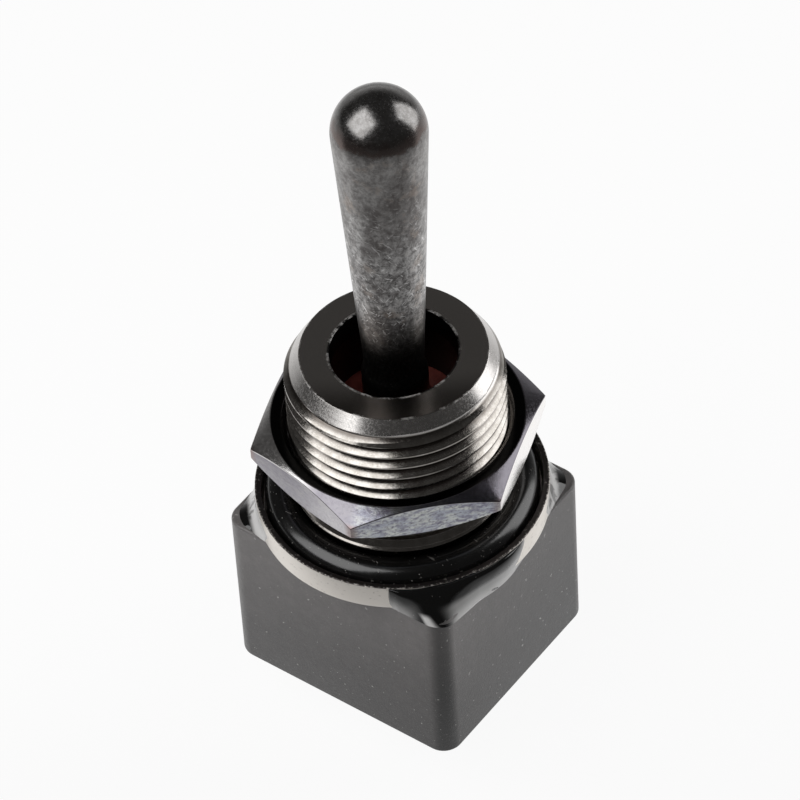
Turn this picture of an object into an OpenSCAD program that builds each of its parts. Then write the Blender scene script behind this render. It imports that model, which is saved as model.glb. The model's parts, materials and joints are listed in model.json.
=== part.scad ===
// Sealed toggle switch for a panel: two poles, lever in its centre position.
// Millimetres. Origin on the bushing's axis, at the flange face that meets the panel.
// +Z points out of the panel along the lever. The lever swings along X.

/* [Case] */
// Length of the case along the lever's swing
case_x = 14.6; // [14.4:0.1:15.4]
// Width of the case across the lever's swing
case_y = 13.4; // [13:0.1:14.4]
// Height of the case below the flange
case_h = 10.6; // [10.4:0.1:11.5]
// Radius of the four upright corners
case_corner_r = 1.1; // [0.8:0.1:1.4]
// Radius of the edges around the underside
case_edge_r = 0.15; // [0.1:0.05:0.5]
// Thickness of the side walls
case_wall = 1.2; // [1:0.1:1.3]
// Thickness of the floor that holds the terminals
floor_t = 1; // [0.8:0.1:1.2]
// Depth of the potting well under the floor
well_h = 1.2; // [0.8:0.1:1.3]
// Distance from the potting's surface to the case's lower rim
potting_drop = 0.2; // [0.1:0.05:0.4]

/* [Bushing] */
// Radius over the thread's crests
thread_r = 5.95; // [5.9:0.01:6]
// Distance from one thread groove to the next
thread_pitch = 0.794; // [0.7:0.001:1]
// Depth of the thread's grooves
thread_depth = 0.42; // [0.3:0.01:0.45]
// Height of the bushing above the flange face
bushing_h = 9.95; // [9:0.05:11]
// Radius of the flat end face inside the lead-in bevel
end_face_r = 5.07; // [4.8:0.01:5.3]
// Height of the lead-in bevel
lead_h = 1.4; // [1:0.05:1.6]
// Radius of the mouth around the lever
mouth_r = 3.45; // [3.4:0.01:3.6]
// Radius of the flange
flange_r = 8.05; // [7.9:0.05:8.2]
// Thickness of the flange
flange_t = 1.55; // [1.5:0.05:1.8]
// Width of the thin rim outside the ring groove
rim_w = 0.35; // [0.3:0.01:0.45]
// Depth of the ring groove
groove_h = 1.25; // [1:0.05:1.3]
// Length of the plain shank that fits the panel's hole
shank_top = 2.5; // [2.2:0.1:2.6]
// Width of the relief cut between the shank and the thread
relief_w = 0.7; // [0.6:0.05:0.8]
// Radius at the bottom of the relief cut
relief_r = 5.45; // [5.3:0.05:5.6]

/* [Seals] */
// Thickness of the panel ring's round section
ring_d = 1.78; // [1.6:0.01:1.85]
// Height of the lever seal's upper face
seal_top = 5.6; // [5:0.05:5.8]
// Thickness of the lever seal's outer edge
seal_edge_t = 1; // [0.8:0.05:1.1]

/* [Nut] */
// Distance across the nut's flats
nut_af = 14.1; // [13.8:0.1:14.3]
// Thickness of the nut
nut_t = 2.1; // [1.8:0.1:2.2]
// Height of the nut's lower face above the flange
nut_z = 3.05; // [3:0.05:4.4]
// Turn of the nut about the axis
nut_turn = -12.5; // [-30:0.5:30]
// Radius of the flat ring on each face of the nut
nut_face_r = 6.9; // [6.6:0.05:6.9]
// Slope of the bevel on the nut's corners
nut_bevel = 30; // [20:1:35]

/* [Lever] */
// Radius of the ball tip
tip_r = 2.53; // [2.4:0.01:2.7]
// Height of the ball tip's top
lever_top = 28.3; // [24:0.1:32]
// Radius of the lever where it enters the bushing
lever_root_r = 1.65; // [1.5:0.01:1.7]
// Radius of the lever's neck inside the bushing
neck_r = 1.8; // [1.7:0.01:1.85]
// Height of the pivot axis
pivot_z = 2.3; // [2.2:0.05:2.5]
// Radius of the lever's pivot ball
pivot_ball_r = 2.8; // [2.6:0.05:2.85]
// Radius of the pivot pin
pin_r = 0.8; // [0.6:0.05:0.8]

/* [Contacts] */
// Distance between the terminals of one pole
throw_pitch = 4.7; // [4.6:0.05:4.8]
// Distance between the two poles
pole_pitch = 4.8; // [4.7:0.05:5]
// Length of the solder lugs below the case
lug_l = 3.4; // [2.5:0.1:4.5]
// Width of a solder lug
lug_w = 2; // [1.6:0.1:2]
// Thickness of a solder lug
lug_t = 0.8; // [0.6:0.05:0.8]
// Radius of the eye in a solder lug
eye_r = 0.6; // [0.4:0.05:0.65]
// Height of a rocker blade's tilt axis
rocker_z = -7.15; // [-7.2:0.05:-7.1]
// Upward slope of each rocker wing at rest
wing_slope = 12; // [11:0.5:12.5]

/* [Hidden] */
$fn = 96;

// How far a cutting shape runs past the piece that it cuts
over = 1;

// Case levels, from the top down
case_top = -flange_t;
case_low = case_top - case_h;
well_top = case_low + well_h;
floor_top = well_top + floor_t;
well_wall = 1;
inner_corner_r = 1;
well_corner_r = 0.6;
partition_t = 0.8;
partition_rise = 0.15;
partition_top = rocker_z + partition_rise;

// Spigot inside the case, and the bore's wide pocket below the seal's shoulder
spigot_gap = 0.2;
spigot_wall = 1;
spigot_h = 0.85;
spigot_r = min(case_x, case_y) / 2 - case_wall - spigot_gap;
spigot_low = case_top - spigot_h;
pocket_r = spigot_r - spigot_wall;

// Groove for the panel ring, with the shank starting just above the ring
ring_room = 0.2;
ring_gap = 0.01;
groove_r = flange_r - rim_w;
ring_seat_r = groove_r - ring_d - ring_room;
shank_gap = 0.05;
shank_low = ring_d - groove_h + shank_gap;
thread_low = shank_top + relief_w;
thread_high = bushing_h - lead_h;
thread_turns = floor((thread_high - thread_low) / thread_pitch);
thread_gap = 0.05;
sink = 0.3;

// Pieces stacked in the pocket
stack_gap = 0.02;
stack_r = pocket_r - stack_gap;
washer_t = 0.5;
washer_gap = 0.1;
washer_hole_r = pivot_ball_r + washer_gap;
washer_top = seal_top - seal_edge_t;
sleeve_gap = 0.2;
sleeve_top = washer_top - washer_t;
sleeve_lift = 0.05;
sleeve_low = case_top + sleeve_lift;
snap_t = 0.5;
snap_w = 1;
snap_gap = 0.05;
snap_depth = 0.45;
snap_groove_r = pocket_r + snap_depth;

// Silicone lip around the neck, just clear of the pivot ball below it
lip_gap = 0.05;
lip_t = 0.3;
lip_rise = 0.6;
lip_r = neck_r + lip_gap;
lip_clear = 0.2;
lip_low = pivot_z + sqrt(pow(pivot_ball_r, 2) - pow(lip_r, 2)) + lip_clear;

// Lever outline: a taper that runs tangent into the ball tip
tip_z = lever_top - tip_r;
foot_drop = 0.65;
neck_drop = 0.7;
taper_foot = bushing_h - foot_drop;
taper_slope = asin((tip_r - lever_root_r) / (tip_z - bushing_h));
neck_top = taper_foot - neck_drop;
tail_r = 1.2;
tail_grip = 1.4;
pin_gap = 0.04;

// Contact blade, which the plunger tips stand just clear of
blade_t = 0.4;
blade_w = 1.8;
wing_end = 0.8;
wing_l = throw_pitch + wing_end;
trunnion_r = 0.3;
tip_gap = 0.2;

// Carrier on the lever's tail, with a hole for each plunger and its spring
carrier_gap = 0.75;
carrier_roof = 0.45;
carrier_end = 1.3;
carrier_lift = 1.05;
carrier_top = spigot_low - carrier_gap;
carrier_low = rocker_z + carrier_lift;
carrier_x = 3.8;
carrier_y = pole_pitch + 2 * carrier_end;
carrier_corner_r = 0.6;
spring_l = 1.3;
plunger_r = 0.8;
plunger_gap = 0.05;
plunger_hole_r = plunger_r + plunger_gap;
plunger_hole_top = carrier_top - carrier_roof;
plunger_top = plunger_hole_top - spring_l;
plunger_tip_r = 0.7;
plunger_tip_z = rocker_z + blade_t / 2 + tip_gap + plunger_tip_r;
spring_wire_r = 0.1;
spring_r = 0.58;
spring_turns = 4;

// Cradles, contact buttons and lugs
ear_t = 0.4;
ear_x = 1.4;
ear_gap = 0.1;
ear_in = blade_w / 2 + ear_gap;
ear_rise = 0.4;
ear_top = rocker_z + ear_rise;
trunnion_gap = 0.04;
web_t = 0.5;
button_r = 0.75;
button_h = 0.35;
button_reach = throw_pitch / cos(wing_slope);
fixed_drop = 0.17;
fixed_top = rocker_z - fixed_drop;
shelf_top = fixed_top - button_h;
shelf_t = 0.5;
shelf_x = 1.8;
lug_low = case_low - lug_l;
lug_bevel = 0.5;
eye_up = 1.3;

// Epoxy in the corners: its height on the flange and at the case's edge
epoxy_rise = 1.25;
epoxy_lip = 0.2;
epoxy_high = case_top + epoxy_rise;
epoxy_edge = case_top + epoxy_lip;

PLASTIC = [0.2, 0.2, 0.21];
NICKEL = [0.78, 0.75, 0.7];
DARK_METAL = [0.25, 0.25, 0.26];
ZINC = [0.62, 0.62, 0.68];
RUBBER = [0.05, 0.05, 0.05];
SILICONE = [0.5, 0.16, 0.12];
STEEL = [0.7, 0.71, 0.72];
BRASS = [0.8, 0.66, 0.36];
SILVER = [0.87, 0.87, 0.86];
NYLON = [0.9, 0.88, 0.8];
EPOXY = [0.02, 0.02, 0.02];

// Flat rectangle with round corners
module round_rect(x, y, r) {
  square([x - 2 * r, y], center = true);
  square([x, y - 2 * r], center = true);
  for (i = [-1, 1], j = [-1, 1]) translate([i * (x / 2 - r), j * (y / 2 - r)]) circle(r);
}

// Straight wall of a flat outline between two heights
module between(low, top) {
  translate([0, 0, low]) linear_extrude(top - low) children();
}

// Ring between two radii and two heights
module ring(r_in, r_out, low, top) {
  rotate_extrude() translate([r_in, low]) square([r_out - r_in, top - low]);
}

// Upright block centred on the axis in X and Y
module block(x, y, low, top) {
  translate([-x / 2, -y / 2, low]) cube([x, y, top - low]);
}

// Puts a child at a pole: -1 is the front pole, 1 the rear
module at_pole(pole) {
  translate([0, pole * pole_pitch / 2, 0]) children();
}

// Places of the six terminals: throw is -1, 0 or 1
module at_each_terminal() {
  for (pole = [-1, 1], throw = [-1, 0, 1])
    at_pole(pole) translate([throw * throw_pitch, 0, 0]) children();
}

// Plan of the well under the case, which the potting fills
module well_plan() {
  round_rect(case_x - 2 * well_wall, case_y - 2 * well_wall, well_corner_r);
}

// Face-on outline of the case with its two lower edges rounded
module case_front(w) {
  intersection() {
    translate([-w / 2, case_low]) square([w, case_h]);
    translate([0, case_low + case_h]) round_rect(w, 2 * case_h, case_edge_r);
  }
}

// Outside of the case: its plan, cut by its outlines from two sides
module case_body() {
  intersection() {
    between(case_low, case_top) round_rect(case_x, case_y, case_corner_r);
    rotate([90, 0, 0]) linear_extrude(2 * case_y, center = true) case_front(case_x);
    rotate([90, 0, 90]) linear_extrude(2 * case_x, center = true) case_front(case_y);
  }
}

module case() {
  color(PLASTIC) {
    difference() {
      case_body();
      between(floor_top, case_top + over)
        round_rect(case_x - 2 * case_wall, case_y - 2 * case_wall, inner_corner_r);
      between(case_low - over, well_top) well_plan();
      at_each_terminal() block(lug_t, lug_w, case_low - over, case_top);
    }
    block(case_x - 2 * case_wall, partition_t, floor_top, partition_top);
  }
}

module base_potting() {
  color(EPOXY) difference() {
    between(case_low + potting_drop, well_top) well_plan();
    at_each_terminal() block(lug_t, lug_w, case_low - over, case_top);
  }
}

// Epoxy fillet in one corner, from the flange's side down to the case's edge
module corner_epoxy(x_side, y_side) {
  reach = norm([case_x, case_y]) / 2;
  color(EPOXY) intersection() {
    between(case_top, epoxy_high) round_rect(case_x, case_y, case_corner_r);
    rotate_extrude() polygon([
      [flange_r, case_top], [reach, case_top], [reach, epoxy_edge], [flange_r, epoxy_high]
    ]);
    translate([x_side * reach / 2, y_side * reach / 2, case_top])
      cube([reach, reach, 2 * flange_t + over], center = true);
  }
}

module epoxy_front_left() { corner_epoxy(-1, -1); }
module epoxy_front_right() { corner_epoxy(1, -1); }
module epoxy_rear_left() { corner_epoxy(-1, 1); }
module epoxy_rear_right() { corner_epoxy(1, 1); }

// Section of the bushing below its thread, from the bore outwards
function bushing_foot() = [
  [pocket_r, spigot_low], [spigot_r, spigot_low], [spigot_r, case_top],
  [flange_r, case_top], [flange_r, 0], [groove_r, 0], [groove_r, -groove_h],
  [ring_seat_r, -groove_h], [ring_seat_r, shank_low], [thread_r, shank_low],
  [thread_r, shank_top], [relief_r, shank_top], [relief_r, thread_low], [thread_r, thread_low]
];

// Section of the thread: a groove for each turn, with narrow flats on the crests and roots
function thread_grooves() = [
  for (turn = [0:thread_turns - 1], step = [[0, 1], [1, 3], [1, 5], [0, 7]])
    [thread_r - step[0] * thread_depth, thread_low + thread_pitch * (turn + step[1] / 8)]
];

// Section of the bushing above its thread and down its bore
function bushing_head() = [
  [thread_r, thread_high], [end_face_r, bushing_h],
  [mouth_r, bushing_h], [mouth_r, seal_top], [pocket_r, seal_top],
  [pocket_r, sleeve_low], [snap_groove_r, sleeve_low],
  [snap_groove_r, sleeve_low - snap_t], [pocket_r, sleeve_low - snap_t]
];

module bushing() {
  color(NICKEL) rotate_extrude()
    polygon(concat(bushing_foot(), thread_grooves(), bushing_head()));
}

// Hexagon nut with both faces bevelled and the hole countersunk
module panel_nut() {
  corner_r = nut_af / 2 / cos(30);
  cone_r = nut_face_r + nut_t / 2 / tan(nut_bevel);
  bore_r = thread_r + thread_gap;
  top = nut_z + nut_t;
  color(ZINC) difference() {
    intersection() {
      rotate(nut_turn) translate([0, 0, nut_z]) cylinder(h = nut_t, r = corner_r, $fn = 6);
      rotate_extrude() polygon([
        [0, nut_z], [nut_face_r, nut_z], [cone_r, nut_z + nut_t / 2],
        [nut_face_r, top], [0, top]
      ]);
    }
    rotate_extrude() polygon([
      [0, nut_z - over], [bore_r + sink + over, nut_z - over], [bore_r, nut_z + sink],
      [bore_r, top - sink], [bore_r + sink + over, top + over], [0, top + over]
    ]);
  }
}

module panel_o_ring() {
  color(RUBBER) rotate_extrude()
    translate([ring_seat_r + ring_gap + ring_d / 2, ring_d / 2 - groove_h]) circle(ring_d / 2);
}

// Silicone disc with a thick clamped edge and a lip around the lever's neck
module lever_seal() {
  fold_r = (lip_r + mouth_r) / 2;
  color(SILICONE) rotate_extrude() polygon([
    [washer_hole_r, washer_top], [stack_r, washer_top], [stack_r, seal_top],
    [mouth_r - lip_t, seal_top], [fold_r, seal_top - lip_t], [lip_r + lip_t, seal_top + lip_rise],
    [lip_r, seal_top + lip_rise], [lip_r, lip_low], [fold_r, lip_low]
  ]);
}

module seal_washer() {
  color(BRASS) ring(washer_hole_r, stack_r, sleeve_top, washer_top);
}

// Round bar along the pivot axis
module cross_pin(l, r) {
  translate([0, 0, pivot_z]) rotate([90, 0, 0]) cylinder(h = l, r = r, center = true);
}

module pivot_sleeve() {
  color(BRASS) difference() {
    ring(pivot_ball_r + sleeve_gap, stack_r, sleeve_low, sleeve_top);
    cross_pin(2 * (stack_r + over), pin_r);
  }
}

module pivot_pin() {
  color(STEEL) cross_pin(2 * (stack_r - snap_gap), pin_r);
}

// Open spring ring that holds the pivot parts up in the bushing
module retaining_ring() {
  color(STEEL) difference() {
    ring(snap_groove_r - snap_w, snap_groove_r - snap_gap, sleeve_low - snap_t, sleeve_low);
    translate([0, pocket_r, sleeve_low])
      cube([2 * snap_w, 3 * snap_w, 2 * snap_t + over], center = true);
  }
}

module toggle_lever() {
  tangent_r = tip_r * cos(taper_slope);
  tangent_z = tip_z - tip_r * sin(taper_slope);
  foot_r = lever_root_r - (bushing_h - taper_foot) * tan(taper_slope);
  tail_low = carrier_top - tail_grip;
  color(DARK_METAL) difference() {
    union() {
      translate([0, 0, tip_z]) sphere(tip_r);
      rotate_extrude() polygon([
        [0, tail_low], [tail_r, tail_low], [tail_r, pivot_z], [neck_r, pivot_z],
        [neck_r, neck_top], [foot_r, taper_foot], [tangent_r, tangent_z], [0, tangent_z]
      ]);
      translate([0, 0, pivot_z]) sphere(pivot_ball_r);
    }
    cross_pin(2 * (pivot_ball_r + over), pin_r + pin_gap);
  }
}

// Moulded carrier pressed on the lever's tail
module actuator_carrier() {
  color(NYLON) difference() {
    between(carrier_low, carrier_top) round_rect(carrier_x, carrier_y, carrier_corner_r);
    translate([0, 0, carrier_top - tail_grip]) cylinder(h = tail_grip + over, r = tail_r);
    for (pole = [-1, 1]) at_pole(pole) translate([0, 0, carrier_low - over])
      cylinder(h = plunger_hole_top - carrier_low + over, r = plunger_hole_r);
  }
}

module plunger(pole) {
  color(NYLON) at_pole(pole) {
    translate([0, 0, plunger_tip_z]) cylinder(h = plunger_top - plunger_tip_z, r = plunger_r);
    translate([0, 0, plunger_tip_z]) sphere(plunger_tip_r);
  }
}

module front_plunger() { plunger(-1); }
module rear_plunger() { plunger(1); }

// Round wire wound on a helix: rings of points joined by a skin, with a cap at each end
module coil(r, wire_r, low, top, turns) {
  sides = 8;
  steps = turns * 20;
  rise = top - low;
  points = [
    for (i = [0:steps], j = [0:sides - 1])
      let (
        a = 360 * turns * i / steps,
        b = 360 * j / sides,
        out = r + wire_r * cos(b)
      )
      [out * cos(a), out * sin(a), low + rise * i / steps + wire_r * sin(b)]
  ];
  skin = [
    for (i = [0:steps - 1], j = [0:sides - 1])
      let (k = (j + 1) % sides)
      [i * sides + j, i * sides + k, (i + 1) * sides + k, (i + 1) * sides + j]
  ];
  caps = [
    [for (j = [sides - 1:-1:0]) j],
    [for (j = [0:sides - 1]) steps * sides + j]
  ];
  polyhedron(points, concat(skin, caps), convexity = 10);
}

module plunger_spring(pole) {
  color(STEEL) at_pole(pole) coil(
    spring_r, spring_wire_r,
    plunger_top + spring_wire_r, plunger_hole_top - spring_wire_r, spring_turns
  );
}

module front_plunger_spring() { plunger_spring(-1); }
module rear_plunger_spring() { plunger_spring(1); }

// Blade bent up at both sides of its tilt axis, with a trunnion on each edge
module rocker(pole) {
  half = blade_t / 2;
  rise = wing_l * tan(wing_slope);
  color(BRASS) at_pole(pole) translate([0, 0, rocker_z]) {
    rotate([90, 0, 0]) linear_extrude(blade_w, center = true) polygon([
      [0, -half], [wing_l, rise - half], [wing_l, rise + half],
      [0, half], [-wing_l, rise + half], [-wing_l, rise - half]
    ]);
    rotate([90, 0, 0]) cylinder(h = 2 * (ear_in + ear_t), r = half, center = true);
    for (side = [-1, 1]) translate([0, side * (ear_in + ear_t + blade_w / 2) / 2, 0])
      rotate([90, 0, 0]) cylinder(h = ear_t + ear_gap, r = trunnion_r, center = true);
  }
}

module front_rocker() { rocker(-1); }
module rear_rocker() { rocker(1); }

// Buttons under both wings of a rocker blade
module rocker_contacts(pole) {
  under = blade_t / 2 * cos(wing_slope) + button_h;
  color(SILVER) at_pole(pole) translate([0, 0, rocker_z])
    for (side = [0, 180]) rotate(side) rotate([0, -wing_slope, 0])
      translate([button_reach, 0, -under]) cylinder(h = button_h, r = button_r);
}

module front_rocker_contacts() { rocker_contacts(-1); }
module rear_rocker_contacts() { rocker_contacts(1); }

// Flat solder lug with a bevelled end and an eye, from its end up to a height
module lug(top) {
  half = lug_w / 2;
  difference() {
    rotate([90, 0, 90]) linear_extrude(lug_t, center = true) polygon([
      [lug_bevel - half, lug_low], [half - lug_bevel, lug_low], [half, lug_low + lug_bevel],
      [half, top], [-half, top], [-half, lug_low + lug_bevel]
    ]);
    translate([0, 0, lug_low + eye_up]) rotate([0, 90, 0])
      cylinder(h = lug_t + over, r = eye_r, center = true);
  }
}

module throw_terminal(pole, throw) {
  color(SILVER) at_pole(pole) translate([throw * throw_pitch, 0, 0]) {
    lug(shelf_top - shelf_t);
    block(shelf_x, lug_w, shelf_top - shelf_t, shelf_top);
  }
}

module front_left_terminal() { throw_terminal(-1, -1); }
module front_right_terminal() { throw_terminal(-1, 1); }
module rear_left_terminal() { throw_terminal(1, -1); }
module rear_right_terminal() { throw_terminal(1, 1); }

// Lug with a web on the floor and two notched ears that carry the rocker's trunnions
module common_terminal(pole) {
  notch_r = trunnion_r + trunnion_gap;
  color(SILVER) at_pole(pole) {
    lug(floor_top);
    block(ear_x, 2 * (ear_in + ear_t), floor_top, floor_top + web_t);
    for (side = [-1, 1]) translate([0, side * (ear_in + ear_t / 2), 0]) difference() {
      block(ear_x, ear_t, floor_top, ear_top);
      translate([0, 0, rocker_z]) rotate([90, 0, 0])
        cylinder(h = ear_t + over, r = notch_r, center = true);
      block(2 * notch_r, ear_t + over, rocker_z, ear_top + over);
    }
  }
}

module front_common_terminal() { common_terminal(-1); }
module rear_common_terminal() { common_terminal(1); }

module fixed_contact(pole, throw) {
  color(SILVER) at_pole(pole) translate([throw * throw_pitch, 0, shelf_top])
    cylinder(h = button_h, r = button_r);
}

module front_left_contact() { fixed_contact(-1, -1); }
module front_right_contact() { fixed_contact(-1, 1); }
module rear_left_contact() { fixed_contact(1, -1); }
module rear_right_contact() { fixed_contact(1, 1); }

case();
bushing();
panel_nut();
panel_o_ring();
lever_seal();
seal_washer();
pivot_sleeve();
pivot_pin();
retaining_ring();
toggle_lever();
actuator_carrier();
front_plunger();
rear_plunger();
front_plunger_spring();
rear_plunger_spring();
front_rocker();
rear_rocker();
front_rocker_contacts();
rear_rocker_contacts();
front_common_terminal();
front_left_terminal();
front_right_terminal();
rear_common_terminal();
rear_left_terminal();
rear_right_terminal();
front_left_contact();
front_right_contact();
rear_left_contact();
rear_right_contact();
epoxy_front_left();
epoxy_front_right();
epoxy_rear_left();
epoxy_rear_right();
base_potting();
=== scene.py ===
"""Looks of the panel toggle switch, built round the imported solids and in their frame."""

import json

import bmesh
import bpy
import numpy as np
from mathutils import Matrix, Vector


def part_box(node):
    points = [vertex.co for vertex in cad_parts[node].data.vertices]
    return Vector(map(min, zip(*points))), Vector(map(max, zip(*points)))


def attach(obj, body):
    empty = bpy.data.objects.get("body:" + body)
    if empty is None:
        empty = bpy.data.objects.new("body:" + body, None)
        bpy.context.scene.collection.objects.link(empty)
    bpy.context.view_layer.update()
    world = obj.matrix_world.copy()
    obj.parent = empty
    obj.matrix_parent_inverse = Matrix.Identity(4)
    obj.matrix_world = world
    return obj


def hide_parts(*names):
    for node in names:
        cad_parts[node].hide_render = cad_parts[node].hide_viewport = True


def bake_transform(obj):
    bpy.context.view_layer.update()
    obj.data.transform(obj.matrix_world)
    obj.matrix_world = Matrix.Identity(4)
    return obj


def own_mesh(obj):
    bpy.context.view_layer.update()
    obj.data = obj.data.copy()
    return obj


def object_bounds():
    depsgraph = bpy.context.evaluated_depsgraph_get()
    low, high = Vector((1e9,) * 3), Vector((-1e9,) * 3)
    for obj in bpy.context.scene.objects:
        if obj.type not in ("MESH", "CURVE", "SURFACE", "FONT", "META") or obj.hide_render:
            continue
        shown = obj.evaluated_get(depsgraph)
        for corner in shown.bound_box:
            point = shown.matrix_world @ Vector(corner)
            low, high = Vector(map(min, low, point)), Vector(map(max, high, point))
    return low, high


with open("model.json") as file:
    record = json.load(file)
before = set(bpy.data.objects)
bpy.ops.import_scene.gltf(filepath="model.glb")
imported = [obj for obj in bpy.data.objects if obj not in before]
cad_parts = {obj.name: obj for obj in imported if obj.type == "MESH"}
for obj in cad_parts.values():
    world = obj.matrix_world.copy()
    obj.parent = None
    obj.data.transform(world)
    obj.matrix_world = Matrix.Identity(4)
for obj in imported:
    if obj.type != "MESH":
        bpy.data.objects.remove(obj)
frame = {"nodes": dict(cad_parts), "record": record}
cad_low, cad_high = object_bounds()

MM = 0.001
TURN = 2 * np.pi
WELD = 2e-7  # metres within which the points of a mesh are joined


def corners_mm(node):
    """Lowest and highest corner of a solid at rest, in millimetres."""
    low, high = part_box(node)
    return np.array(low) / MM, np.array(high) / MM


def direction(azimuth, elevation):
    """Unit vector that points to an azimuth and an elevation in degrees."""
    a, e = np.radians([azimuth, elevation])
    return np.array([np.cos(a) * np.cos(e), np.sin(a) * np.cos(e), np.sin(e)])


# Levels and radii that the solids give, in millimetres
case_low, case_high = corners_mm("case")
bushing_low, bushing_high = corners_mm("bushing")
nut_low, nut_high = corners_mm("panel_nut")
ring_low, ring_high = corners_mm("panel_o_ring")
lever_low, lever_high = corners_mm("toggle_lever")
seal_high = corners_mm("lever_seal")[1]
washer_high = corners_mm("seal_washer")[1]

HALF_X = case_high[0]
HALF_Y = case_high[1]
CASE_TOP = case_high[2]
CASE_LOW = case_low[2]
FLANGE_R = bushing_high[0]
BUSHING_TOP = bushing_high[2]
SPIGOT_LOW = bushing_low[2]
NUT_TOP = nut_high[2]
NUT_LOW = nut_low[2]
RING_R = (ring_high[2] - ring_low[2]) / 2  # of the ring's round section
RING_Z = ring_low[2] + RING_R
RING_MIDDLE_R = ring_high[0] - RING_R
TAIL_LOW = lever_low[2]
LEVER_TOP = lever_high[2]
SEAL_R = seal_high[0]
LIP_TOP = seal_high[2]
SEAL_LOW = washer_high[2]

# Case, in millimetres like the other pieces below
CASE_CORNER = 1.1  # radius of its upright edges
CASE_EDGE = 0.15  # rounding of its level edges
CASE_WALL = 1.2
INNER_CORNER = 1.0
INNER_EDGE = 0.1
FLOOR_TOP = CASE_LOW + 2.2  # floor inside the case
WELL_TOP = CASE_LOW + 1.2  # roof of the well below that floor
WELL_WALL = 1.0
WELL_CORNER = 0.6

# Bushing
SPIGOT_R = 5.3  # plug that stands in the case
POCKET_R = 4.3  # bore below the seal
MOUTH_R = 3.45  # bore above the seal
SEAL_TOP = SEAL_LOW + 1.0  # shoulder that holds the seal down
RIM_W = 0.35  # flange's rim, outside the ring's groove
GROOVE_H = 1.25
RING_SEAT_R = 5.72
SHANK_LOW = 0.58
RELIEF_R = 5.45  # undercut between the shank and the thread
END_FACE_R = 5.07
LEAD_H = 1.4  # height of the lead-in bevel

# Thread
THREAD_R = 5.95  # its crests
THREAD_LOW = 3.2
THREAD_PITCH = 0.794
THREAD_DEPTH = 0.42
THREAD_SHIFT = 1.94  # turns that the helix begins below the thread's foot
THREAD_STEP = 0.05  # turns from one row of points to the next
CREST_HALF = 0.06  # half a crest's width, in pitches
ROOT_START = 0.4  # from a crest's middle to the root, in pitches
RUN_OUT_SLOPE = 1.5
NICK_ANGLE = 4.05  # radians
NICK_Z = 5.85
NICK_W = 0.03  # radians
NICK_H = 0.16
NICK_DEPTH = 0.22

# Bands of the shank: depth below the thread's crests, rise above the shank's foot, and rounding
SHANK_BANDS = [
    (0, 0, 0.05),
    (0, 0.08, 0.03),
    (0.12, 0.2, 0.02),
    (0.12, 0.26, 0.02),
    (0, 0.3, 0.03),
    (0.25, 0.7, 0.03),
    (THREAD_R - RELIEF_R, 0.75, 0.03),
]

# Nut
NUT_FLAT = 7.05  # from the axis to a flat
NUT_CORNER = NUT_FLAT / np.cos(TURN / 12)
NUT_FACE_R = 6.9  # outside of the level face
NUT_TURN = -12.5  # degrees to a corner
NUT_BEVEL = 30  # degrees
NUT_BORE = 6.0
NUT_SINK = 0.3  # countersink of the bore
NUT_ROUND = 0.1  # rounding of its upright corners
NUT_EDGE = 0.05

# Sealing ring
MOULD_LINE_W = 0.06  # as a sine round the section
MOULD_LINE_H = 0.012

# Lever
TIP_R = 2.53
TIP_Z = LEVER_TOP - TIP_R
ROOT_R = 1.65  # at the bushing's end
TAPER_GAP = 0.02  # from the tip's arc to the taper's end
FOOT_DROP = 0.65  # from the bushing's end to the taper's foot
NECK_DROP = 0.7  # from the taper's foot to the neck
NECK_R = 1.8
NECK_ROUND = 0.5
PIVOT_Z = 2.3
BALL_R = 2.8
TAIL_R = 1.2
TAIL_ROUND = 0.3

# Lever's seal
LIP_BORE = NECK_R + 0.05
LIP_R = 2.05
LIP_FOOT_R = 2.25
WEB_R = 2.7
WEB_H = 0.5
WEB_DIP = 0.05  # slope of the web towards the lip
HOLLOW_R = 2.6
CLAMP_R = 3.0  # inside of the clamped edge

# Springs of the plungers
WIRE_R = 0.1
SPRING_TURNS = 4

# Resin
RESIN_SEAM_R = FLANGE_R - 0.1  # where a pillow ends in a point, inside the flange
RESIN_END_Z = CASE_TOP + 0.5
RESIN_SOFT = 0.2  # width of the bend where the lip would pass inside the seam
RESIN_LEAN = 0.55  # power that moves the swell towards the crest
RESIN_SKIN = 0.01  # depth of the crest's line inside the flange
RESIN_IN_CASE = 0.3  # depth of the closing line inside the case
RESIN_IN_FLANGE = (0.4, 0.2)  # its depths inside the flange, low and high
RESIN_UNDER = 0.05  # below the case's top and below the crest
RESIN_WAVES = [(0.03, 9), (0.02, 23)]  # height of a wave along the crest, and its number a turn
BLOWHOLE_Y = -2.3
BLOWHOLE_Z = CASE_TOP - 0.58
BLOWHOLE_W = 0.26
BLOWHOLE_H = 0.09
BLOWHOLE_SLOPE = 0.4

# The photograph's view, in degrees and millimetres
CAMERA_AZIMUTH = -51.64
CAMERA_ELEVATION = 45.91
CAMERA_ROLL = -3.75
CAMERA_DISTANCE = 269.185
CAMERA_AIM = np.array([0.133, 0.105, 6.148])
CAMERA_LENS = 226.12
SENSOR_W = 36
FORWARDS = direction(CAMERA_AZIMUTH, 0)


# Surfaces: each one is a grid of points, columns by rows, in millimetres


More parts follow.
